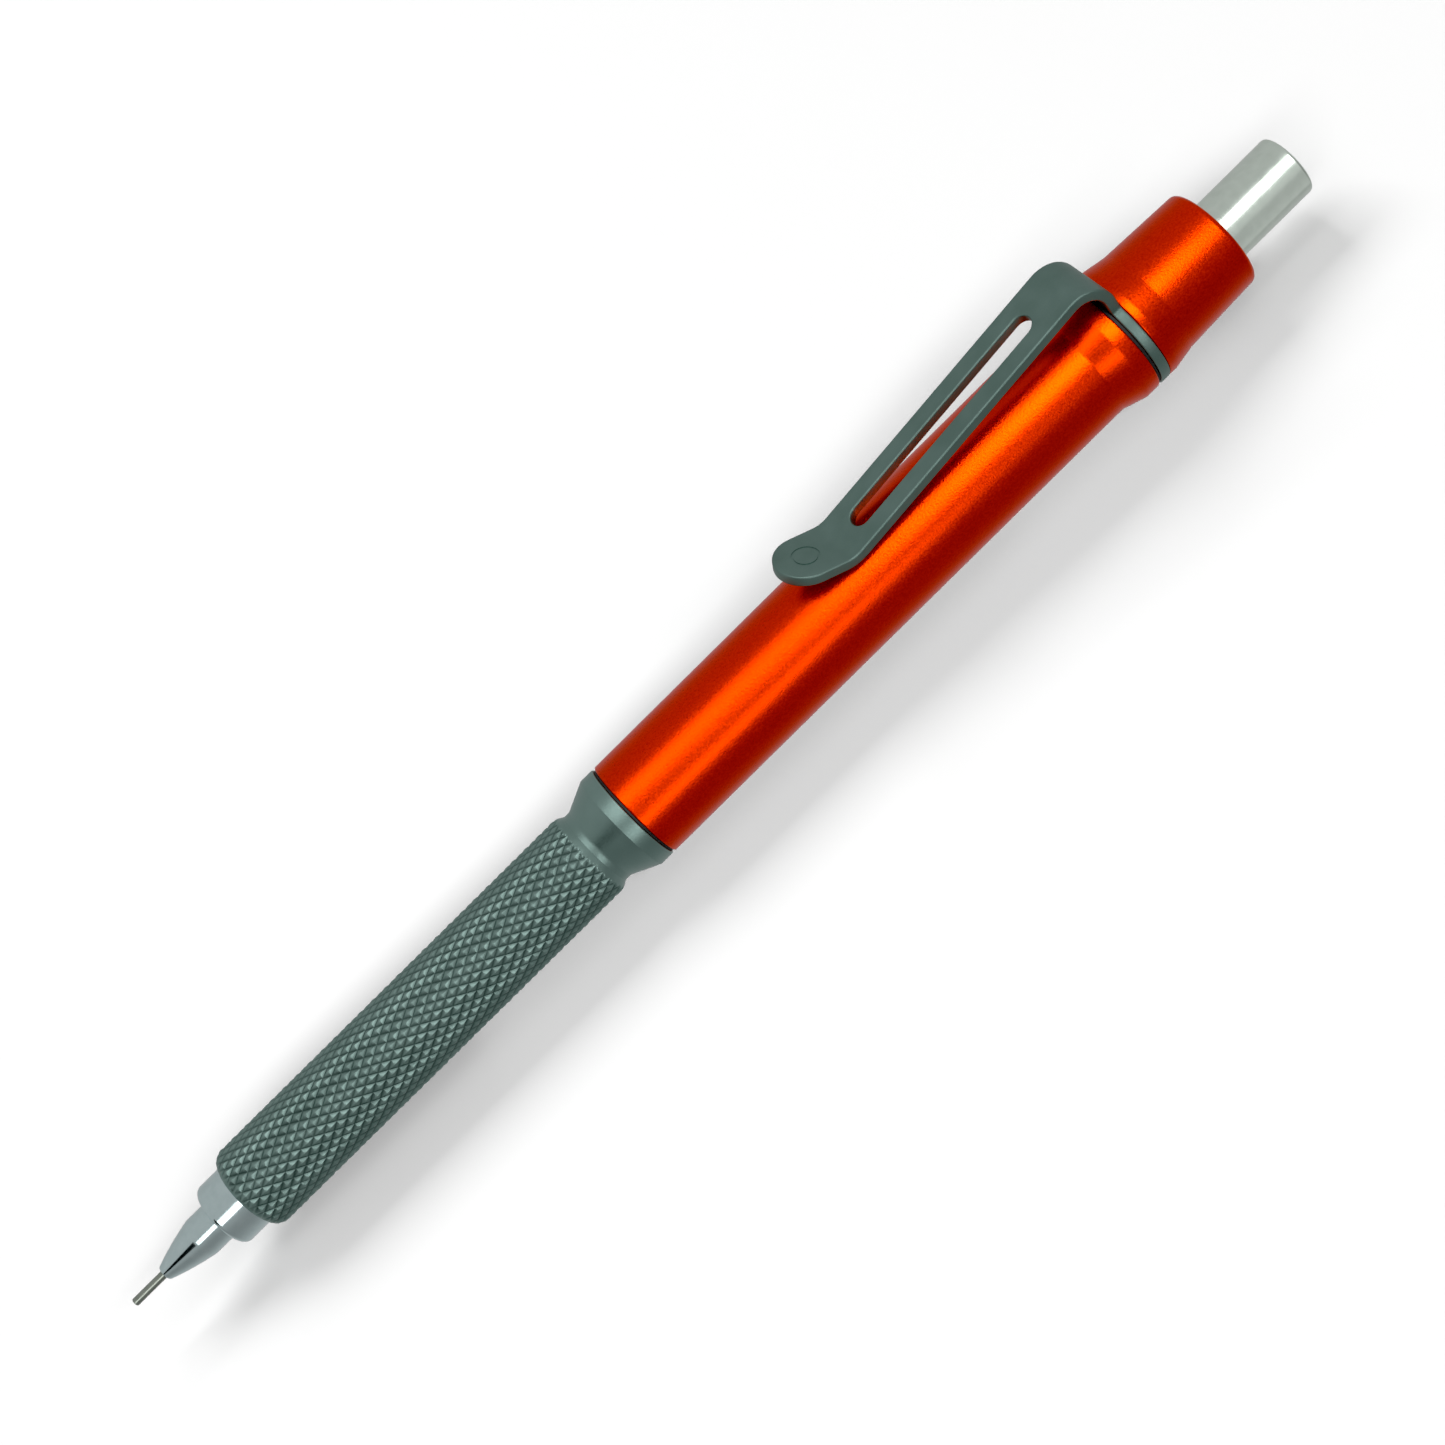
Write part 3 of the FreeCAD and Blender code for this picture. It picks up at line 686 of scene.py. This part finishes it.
def make_grip():
    """Grip: crossed knurl cut into the surface, smooth neck, flared flange and hidden spigot."""
    knurl_end = 56.1 * MM
    neck_start, neck_end, neck_radius = 56.9 * MM, 57.5 * MM, 3.8 * MM
    neck_rounding = 0.8 * MM
    flange_start = 60.1 * MM
    flange_rounding = 0.12 * MM
    front_bore = 2.8 * MM
    housing_bore = 2.95 * MM
    shoulder = 20.25 * MM
    tube_room_start = 38.4 * MM
    knurled = knurl_rows(knurl_end, neck_start, neck_radius)
    smooth = rounded([
        (neck_start, neck_radius),
        (neck_end, neck_radius, neck_rounding),
        (flange_start, BARREL_RADIUS, flange_rounding),
        (flange_end, BARREL_RADIUS, EDGE),
        (flange_end, JOINT_RADIUS),
        (joint_end, JOINT_RADIUS),
        (joint_end, TUBE_ROOM_RADIUS),
        (tube_room_start, TUBE_ROOM_RADIUS),
        (tube_room_start, housing_bore),
        (shoulder, housing_bore),
        (shoulder, front_bore),
        (grip_start, front_bore),
    ])[1:]
    angles = KNURL_TURNS * 2 * math.pi
    stations = []
    radii = []
    shades = []
    for at, radius, share in knurled:
        groove = KNURL_DEPTH * share * (1 - knurl_height(KNURL_TURNS, at - knurl_origin))
        ceiling = GRIP_RADIUS if at > knurl_origin else radius
        radii.append(np.minimum(radius, ceiling - groove))
        stations.append(at)
        # groove depth from 0 to 1, which the material turns into painted shade
        shades.append((np.minimum(radius, ceiling) - radii[-1]) / KNURL_DEPTH)
    for at, radius in smooth:
        radii.append(np.full(KNURL_STEPS, radius))
        stations.append(at)
        shades.append(np.zeros(KNURL_STEPS))
    vertices = []
    for at, row in zip(stations, radii):
        x = np.full(KNURL_STEPS, TIP_X + at)
        y = row * np.sin(angles)
        z = AXIS_HEIGHT + row * np.cos(angles)
        vertices.extend(np.stack([x, y, z], axis=1).tolist())
    faces = []
    count = len(stations)
    for row in range(count):
        following = (row + 1) % count
        here = range(row * KNURL_STEPS, (row + 1) * KNURL_STEPS)
        there = range(following * KNURL_STEPS, (following + 1) * KNURL_STEPS)
        if row + 1 < len(knurled):
            faces += knurled_faces(here, there, stations[row], stations[following])
        else:
            faces += plain_faces(here, there)
    piece = new_piece("knurled_grip", vertices, faces, "titanium", "barrel", KNURL_SMOOTH_ANGLE)
    piece.data.materials[0] = MATERIALS["knurled_titanium"]
    # the groove attribute drives the painted shade in the grooves
    groove = piece.data.attributes.new("groove", "FLOAT", "POINT")
    groove.data.foreach_set("value", np.concatenate(shades).astype(np.float32))
    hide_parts("grip")


# ---------------------------------------------------------------- clip, drawn flat in mm, then bent

CLIP_HALF_WIDTH = 2.85
CLIP_THICKNESS = 1.0
CLIP_EDGE = 0.15
CLIP_SMOOTH_ANGLE = math.radians(40)
CLIP_SLOPE = math.radians(7.1)
CLIP_FLARE = math.radians(27.0)
CLIP_CORNER = Vector((120.5, 9.8))
CLIP_VALLEY_X = 90.2
CLIP_FREE_END_X = 84.4
VALLEY_RADIUS = 2.5
BEND_RADIUS = 3.15
SPLIT_HEIGHT = 5.85
SPLIT_REACH = 0.2
RING_RADIUS = 5.7
RING_BORE = 4.0
FOOT_FILLET = 0.5
SLOT_ENDS_X = (92.1, 114.3)
SLOT_HALF_WIDTH = 1.05
MARK_RADIUS = 1.15
MARK_WIDTH = 0.2
MARK_DEPTH = 0.05
MERGE_DISTANCE = 0.0005
VALLEY_CUTS = 12
BEND_CUTS = 30
ARM_CUTS = 12
END_STEPS = 20
FOOT_STEPS = 6
RING_STEPS = 72
SLOT_STEPS = 16
BORE_STEPS = 96
MARK_STEPS = 64


class ClipPath:
    """Outer face of the clip plate in side view, from its free end over the bend to its ring.

    Points are (station, height above the axis) in mm. A distance runs along the outer face.
    """

    def __init__(self):
        fall = CLIP_CORNER.x - CLIP_VALLEY_X
        valley = Vector((CLIP_VALLEY_X, CLIP_CORNER.y - fall * math.tan(CLIP_SLOPE)))
        self.start_x = CLIP_FREE_END_X + CLIP_THICKNESS * math.sin(CLIP_FLARE)
        flare_run = valley.x - self.start_x
        valley_turn = CLIP_FLARE + CLIP_SLOPE
        bend_turn = CLIP_SLOPE + math.pi / 2
        valley_trim = VALLEY_RADIUS * math.tan(valley_turn / 2)
        bend_trim = BEND_RADIUS * math.tan(bend_turn / 2)
        self.first = Vector((self.start_x, valley.y + flare_run * math.tan(CLIP_FLARE)))
        self.valley_start = flare_run / math.cos(CLIP_FLARE) - valley_trim
        self.arm_start = self.valley_start + VALLEY_RADIUS * valley_turn
        arm_length = (CLIP_CORNER - valley).length - valley_trim - bend_trim
        self.arm_x = valley.x + valley_trim * math.cos(CLIP_SLOPE)
        self.bend_start = self.arm_start + arm_length
        self.tab_start = self.bend_start + BEND_RADIUS * bend_turn
        self.tab_height = CLIP_CORNER.y - bend_trim
        self.ring_centre = self.tab_start + self.tab_height
        self.stretches = [
            (self.valley_start, 0),
            (VALLEY_RADIUS * valley_turn, valley_turn),
            (arm_length, 0),
            (BEND_RADIUS * bend_turn, -bend_turn),
            (self.tab_height + RING_RADIUS + 1, 0),
        ]

    def arm_distance(self, x):
        """Distance along the face of a station on the straight arm."""
        return self.arm_start + (x - self.arm_x) / math.cos(CLIP_SLOPE)

    def tab_distance(self, height):
        """Distance along the face of a height on the tab."""
        return self.tab_start + self.tab_height - height

    def place(self, distance, depth):
        """Point at a distance along the face and a depth under it."""
        point = self.first.copy()
        heading = -CLIP_FLARE
        left = distance
        for length, turn in self.stretches:
            part = min(left, length)
            left -= part
            if turn == 0:
                point += Vector((math.cos(heading), math.sin(heading))) * part
            else:
                radius = length / turn
                after = heading + part / radius
                point += Vector((math.sin(after) - math.sin(heading),
                                 math.cos(heading) - math.cos(after))) * radius
                heading = after
            if left <= 0:
                break
        return point + Vector((math.sin(heading), -math.cos(heading))) * depth


def arc_points(centre, radius, first, last, steps):
    """Points of an arc between two angles, both ends included."""
    return [
        (centre[0] + radius * math.cos(first + (last - first) * step / steps),
         centre[1] + radius * math.sin(first + (last - first) * step / steps))
        for step in range(steps + 1)
    ]


def clip_outline(path):
    """Outline of the flat plate: round end, strip, concave feet and the ring's outer edge."""
    half = CLIP_HALF_WIDTH
    side = half + FOOT_FILLET
    foot = path.ring_centre - math.sqrt((RING_RADIUS + FOOT_FILLET) ** 2 - side ** 2)
    foot_angle = math.atan2(side, foot - path.ring_centre)
    upper = arc_points((half, 0), half, math.pi, math.pi / 2, END_STEPS)
    upper += arc_points((foot, side), FOOT_FILLET, -math.pi / 2, foot_angle - math.pi, FOOT_STEPS)
    upper += arc_points((path.ring_centre, 0), RING_RADIUS, foot_angle, 0, RING_STEPS)[1:]
    lower = [(along, -across) for along, across in reversed(upper[1:-1])]
    return upper + lower


def slot_outline(path):
    """Outline of the long slot with its two round ends."""
    first = path.arm_distance(SLOT_ENDS_X[0] + SLOT_HALF_WIDTH)
    last = path.arm_distance(SLOT_ENDS_X[1] - SLOT_HALF_WIDTH)
    quarter = math.pi / 2
    return (arc_points((first, 0), SLOT_HALF_WIDTH, quarter, 3 * quarter, SLOT_STEPS)
            + arc_points((last, 0), SLOT_HALF_WIDTH, -quarter, quarter, SLOT_STEPS))


def flat_plate(outlines):
    """A flat plate with rounded edges around all of its outlines, as a mesh in mm."""
    curve = bpy.data.curves.new("plate", "CURVE")
    curve.dimensions = "2D"
    curve.fill_mode = "BOTH"
    curve.extrude = CLIP_THICKNESS / 2 - CLIP_EDGE
    curve.bevel_depth = CLIP_EDGE
    curve.bevel_resolution = 2
    curve.offset = -CLIP_EDGE
    for outline in outlines:
        spline = curve.splines.new("POLY")
        spline.points.add(len(outline) - 1)
        for point, (along, across) in zip(spline.points, outline):
            point.co = (along, across, 0, 1)
        spline.use_cyclic_u = True
    holder = bpy.data.objects.new("plate", curve)
    mesh = bpy.data.meshes.new_from_object(holder)
    bpy.data.objects.remove(holder)
    return mesh


def engrave_ring(mesh, along):
    """Cut a shallow plain ring into the plate's outer face."""
    cutter = bmesh.new()
    loops = []
    for height in (CLIP_THICKNESS / 2 - MARK_DEPTH, CLIP_THICKNESS / 2 + MARK_DEPTH):
        for reach in (MARK_RADIUS - MARK_WIDTH / 2, MARK_RADIUS + MARK_WIDTH / 2):
            loops.append([
                cutter.verts.new((x, y, height))
                for x, y in arc_points((along, 0), reach, 0, 2 * math.pi, MARK_STEPS)[:-1]
            ])
    inner_low, outer_low, inner_high, outer_high = loops
    for one, other in ((inner_low, outer_low), (outer_low, outer_high),
                       (outer_high, inner_high), (inner_high, inner_low)):
        for step in range(MARK_STEPS):
            beside = (step + 1) % MARK_STEPS
            cutter.faces.new((one[step], one[beside], other[beside], other[step]))
    bmesh.ops.recalc_face_normals(cutter, faces=cutter.faces)
    ring_mesh = bpy.data.meshes.new("ring")
    cutter.to_mesh(ring_mesh)
    cutter.free()
    ring = bpy.data.objects.new("ring", ring_mesh)
    plate = bpy.data.objects.new("plate", mesh)
    for item in (ring, plate):
        bpy.context.collection.objects.link(item)
    cut = plate.modifiers.new("engraving", "BOOLEAN")
    cut.operation = "DIFFERENCE"
    cut.solver = "EXACT"
    cut.object = ring
    evaluated = plate.evaluated_get(bpy.context.evaluated_depsgraph_get())
    result = bpy.data.meshes.new_from_object(evaluated)
    bpy.data.objects.remove(ring)
    bpy.data.objects.remove(plate)
    return result


def bend_plate(mesh, path):
    """Cut the flat plate across its bends and lay it along the clip's side view, in metres."""
    shaped = bmesh.new()
    shaped.from_mesh(mesh)
    bmesh.ops.remove_doubles(shaped, verts=shaped.verts, dist=MERGE_DISTANCE)
    cuts = [path.tab_distance(SPLIT_HEIGHT + SPLIT_REACH),
            path.tab_distance(SPLIT_HEIGHT - SPLIT_REACH)]
    curved = (
        (path.valley_start, path.arm_start, VALLEY_CUTS),
        (path.bend_start, path.tab_start, BEND_CUTS),
    )
    for start, end, steps in curved:
        cuts += [start + (end - start) * step / steps for step in range(steps + 1)]
    arm = path.bend_start - path.arm_start
    cuts += [path.arm_start + arm * step / ARM_CUTS for step in range(1, ARM_CUTS)]
    for along in cuts:
        everything = shaped.verts[:] + shaped.edges[:] + shaped.faces[:]
        bmesh.ops.bisect_plane(shaped, geom=everything, dist=MERGE_DISTANCE,
                               plane_co=(along, 0, 0), plane_no=(1, 0, 0))
    for vertex in shaped.verts:
        along, across, up = vertex.co
        at, height = path.place(along, CLIP_THICKNESS / 2 - up)
        vertex.co = axis_point(at * MM) + Vector((0, across * MM, height * MM))
    shaped.to_mesh(mesh)
    shaped.free()


def even_normals(piece):
    """Shade large faces flat and let their narrow rounded edges take the turn."""
    weighted = piece.modifiers.new("normals", "WEIGHTED_NORMAL")
    weighted.keep_sharp = True
    evaluated = piece.evaluated_get(bpy.context.evaluated_depsgraph_get())
    piece.data = bpy.data.meshes.new_from_object(evaluated)
    piece.modifiers.clear()


def make_clip():
    """The clip plate in one piece, with extra cuts across it where its foot leaves the ring."""
    path = ClipPath()
    bore = arc_points((path.ring_centre, 0), RING_BORE, 0, 2 * math.pi, BORE_STEPS)[:-1]
    mesh = flat_plate([clip_outline(path), slot_outline(path), bore])
    mesh = engrave_ring(mesh, CLIP_HALF_WIDTH)
    bend_plate(mesh, path)
    piece = finished_piece("clip_plate", mesh, "titanium", smooth_angle=CLIP_SMOOTH_ANGLE)
    even_normals(piece)
    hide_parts("clip_ring", "clip_arm")
    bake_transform(piece)


make_sleeve()
make_tip()
make_grip()
make_seal("front_gasket", "front_seal", flange_end, barrel_start, BARREL_RADIUS)
make_barrel()
make_seal("rear_gasket", "rear_seal", barrel_end, plate_start, flare_radius)
make_clip()
make_cap()
make_button()
make_spring()


# ---------------------------------------------------------------- carried-over parts

for part in frame["record"]["subparts"]:
    for material_slot in frame["nodes"][part["node"]].material_slots:
        material_slot.material = MATERIALS[part["material_slot"]]


# ---------------------------------------------------------------- studio

FLOOR_SIZE = 12.0
PANEL_DISTANCE = 0.7
PANEL_LENGTH = 1.0
PANEL_MIDDLE = 70 * MM
FLOOR_TONE = 0.4
GLOW_START = 0.3
GLOW_END = 1.3
GLOW_LEVEL = 0.82


def add_floor():
    """Pale matt floor that glows softly far from the pencil, where no panel lights it."""
    mesh = bpy.data.meshes.new("floor")
    half = FLOOR_SIZE / 2
    corners = [(-half, -half, 0), (half, -half, 0), (half, half, 0), (-half, half, 0)]
    mesh.from_pydata(corners, [], [(0, 1, 2, 3)])
    floor = bpy.data.objects.new("floor", mesh)
    bpy.context.collection.objects.link(floor)
    nodes = Nodes("pale_floor", Roughness=0.9)
    nodes.shader.inputs["Base Color"].default_value = rgba(FLOOR_TONE)
    nodes.shader.inputs["Emission Color"].default_value = rgba(1.0)
    reach = nodes.add("ShaderNodeVectorMath", operation="LENGTH")
    nodes.link(nodes.place, reach.inputs["Vector"])
    glow = nodes.add("ShaderNodeMapRange", interpolation_type="SMOOTHSTEP")
    glow.inputs["From Min"].default_value = GLOW_START
    glow.inputs["From Max"].default_value = GLOW_END
    glow.inputs["To Max"].default_value = GLOW_LEVEL
    nodes.link(reach.outputs["Value"], glow.inputs["Value"])
    nodes.link(glow.outputs["Result"], nodes.shader.inputs["Emission Strength"])
    mesh.materials.append(nodes.material)
    floor.visible_glossy = False
    floor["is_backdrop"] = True
    return floor


def wearing(*slots):
    """Every shown piece whose material is one of these."""
    wanted = {MATERIALS[name] for name in slots}
    return [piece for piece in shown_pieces() if wanted & set(piece.data.materials)]


def add_panel(name, elevation, spread, radiance, receivers,
              length=PANEL_LENGTH, middle=PANEL_MIDDLE):
    """A soft panel square to the axis that lights only its receivers.

    Elevation turns from the horizon at -Y over the top to +Y, and spread is the angle that the
    panel takes up as seen from the axis. Both are in degrees.
    """
    width = 2 * PANEL_DISTANCE * math.tan(math.radians(spread) / 2)
    data = bpy.data.lights.new(name, "AREA")
    data.shape = "RECTANGLE"
    data.size = length
    data.size_y = width
    data.energy = radiance * math.pi * width * length
    lamp = bpy.data.objects.new(name, data)
    bpy.context.collection.objects.link(lamp)
    angle = math.radians(elevation)
    back = Vector((0, -math.cos(angle), math.sin(angle)))
    lamp.location = axis_point(middle) + back * PANEL_DISTANCE
    lamp.rotation_mode = "QUATERNION"
    side = Vector((1, 0, 0))
    lamp.rotation_quaternion = Matrix((side, back.cross(side), back)).transposed().to_quaternion()
    group = bpy.data.collections.new(name + "_receivers")
    for piece in receivers:
        group.objects.link(piece)
    lamp.light_linking.receiver_collection = group


# Brightness of the surroundings by the angle in degrees from the horizon at -Y over the top.
SURROUNDINGS = [
    (-180, 0.38), (-135, 0.44), (-90, 0.44), (-45, 0.25), (-5, 0.22), (15, 0.32),
    (40, 0.34), (60, 0.42), (130, 0.43), (180, 0.38),
]

CARD_REACH = 2.0
CARD_RISE = math.radians(47.5)
CARD_HALF_SPREAD = math.radians(14)
CARD_NEAR_END = 0.6
CARD_TONE = 0.01


def add_dark_card():
    """A thin dark wedge beyond the writing end, which draws the fine line on the nose cone."""
    across = math.sqrt(1 - CARD_NEAR_END ** 2)
    corners = [Vector((-1, 0, 0))]
    for angle in (CARD_RISE - CARD_HALF_SPREAD, CARD_RISE + CARD_HALF_SPREAD):
        out, up = across * math.cos(angle), across * math.sin(angle)
        corners.append(Vector((-CARD_NEAR_END, -out, up)))
    mesh = bpy.data.meshes.new("dark_card")
    mesh.from_pydata([axis_point(0) + corner * CARD_REACH for corner in corners], [], [(0, 1, 2)])
    nodes = Nodes("dark_card", Roughness=1.0, Specular_IOR_Level=0.0)
    nodes.shader.inputs["Base Color"].default_value = rgba(CARD_TONE)
    mesh.materials.append(nodes.material)
    card = bpy.data.objects.new("dark_card", mesh)
    bpy.context.collection.objects.link(card)
    card.visible_camera = False
    card.visible_diffuse = False
    card.visible_shadow = False
    card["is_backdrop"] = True


def add_world():
    """Soft surroundings whose brightness changes only with the angle about the pencil's axis."""
    world = bpy.data.worlds.new("studio")
    bpy.context.scene.world = world
    world.use_nodes = True
    tree = world.node_tree
    coordinates = tree.nodes.new("ShaderNodeTexCoord")
    split = tree.nodes.new("ShaderNodeSeparateXYZ")
    toward = tree.nodes.new("ShaderNodeMath")
    toward.operation = "MULTIPLY"
    toward.inputs[1].default_value = -1
    angle = tree.nodes.new("ShaderNodeMath")
    angle.operation = "ARCTAN2"
    remap = tree.nodes.new("ShaderNodeMapRange")
    remap.inputs["From Min"].default_value = -math.pi
    remap.inputs["From Max"].default_value = math.pi
    ramp = tree.nodes.new("ShaderNodeValToRGB")
    ramp.color_ramp.interpolation = "B_SPLINE"
    tree.links.new(coordinates.outputs["Generated"], split.inputs["Vector"])
    tree.links.new(split.outputs["Y"], toward.inputs[0])
    tree.links.new(split.outputs["Z"], angle.inputs[0])
    tree.links.new(toward.outputs["Value"], angle.inputs[1])
    tree.links.new(angle.outputs["Value"], remap.inputs["Value"])
    tree.links.new(remap.outputs["Result"], ramp.inputs["Fac"])
    elements = ramp.color_ramp.elements
    while len(elements) < len(SURROUNDINGS):
        elements.new(0.5)
    for element, (degrees, level) in zip(elements, SURROUNDINGS):
        element.position = (degrees + 180) / 360
        element.color = rgba(level)
    tree.links.new(ramp.outputs["Color"], tree.nodes["Background"].inputs["Color"])


# Scene brightness and how bright it is shown, below the middle of the tone curve.
TOE = ((0.014, 0.002), (0.024, 0.011), (0.05, 0.042), (0.12, 0.12), (0.5, 0.5))


def grade_picture():
    """Plain tones with a short dark toe."""
    settings = bpy.context.scene.view_settings
    settings.view_transform = "Standard"
    settings.use_curve_mapping = True
    combined = settings.curve_mapping.curves[3]
    for level, shown in TOE:
        combined.points.new(level, shown)
    settings.curve_mapping.update()


floor = add_floor()
orange = wearing("orange_aluminium", "black_rubber", "white_eraser", "tube_plastic")
slate = wearing("titanium", "knurled_titanium")
bright = wearing("polished_steel", "dull_steel", "spring_steel", "brass", "graphite")
button = wearing("satin_steel")
add_panel("overhead", 77, 25, 2.4, orange, length=0.52, middle=-180 * MM)
add_panel("front_strip", 18.5, 14, 2.9, orange, length=0.54, middle=-180 * MM)
add_panel("end_overhead", 59, 27, 10.0, orange, length=0.20, middle=250 * MM)
add_panel("slate_overhead", 72, 38, 1.1, slate, length=0.70, middle=260 * MM)
add_panel("slate_strip", 17, 20, 1.6, slate, length=0.70, middle=260 * MM)
add_panel("steel_strip", 38, 20, 2.5, bright)
add_panel("button_strip", 54, 31, 2.2, button)
add_panel("button_fill", 25, 50, 0.22, button)
add_panel("button_low_fill", -32, 62, 0.16, button)
add_panel("floor_back", 129, 25, 11.6, [floor], length=0.55, middle=0)
add_panel("floor_overhead", 77, 35, 1.9, [floor])
add_panel("floor_front", 41, 10, 20.7, [floor])
for piece in orange + slate:
    piece.visible_diffuse = False
add_dark_card()
add_world()
grade_picture()
